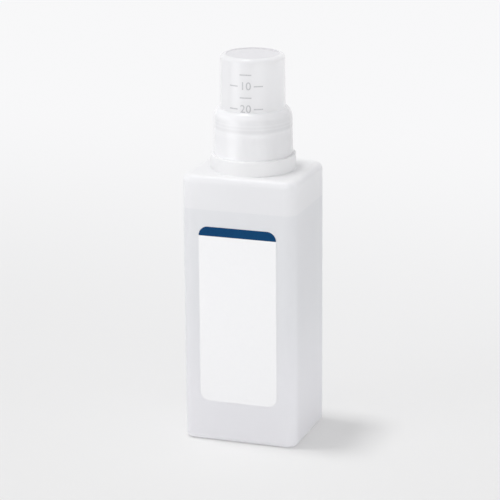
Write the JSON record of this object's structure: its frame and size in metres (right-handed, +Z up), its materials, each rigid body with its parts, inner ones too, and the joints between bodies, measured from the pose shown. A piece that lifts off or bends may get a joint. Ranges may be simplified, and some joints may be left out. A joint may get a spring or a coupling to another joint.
{
  "type": "laundry detergent bottle",
  "caption": "Upright translucent plastic bottle with rounded oblong body, round neck under a frosted measuring cap, pour spout inside, and a plain white front label with a blue top strip.",
  "frame": {"origin": "centre of the bottle's foot, on the surface it stands on", "axes": "+Z up along the neck, front face with the label towards -Y, width along X"},
  "size_m": [0.0628, 0.0528, 0.2063],
  "materials": {
    "bottle_plastic": "natural translucent polyethylene, satin moulded skin",
    "spout_plastic": "milky soft polyethylene, satin",
    "cap_plastic": "natural translucent polypropylene, frosted",
    "label_film": "white printed film, satin, blue strip across the top",
    "detergent_liquid": "clear colourless liquid"
  },
  "bodies": {
    "bottle": {"bottle": "bottle_plastic", "pour_spout": "spout_plastic", "front_label": "label_film", "detergent": "detergent_liquid"},
    "cap": {"dosing_cap": "cap_plastic"}
  },
  "joints": [
    {"name": "cap_lift", "type": "slide", "parent": "bottle", "child": "cap", "axis": [0, 0, 1], "range_m": [0, 0.045]}
  ]
}
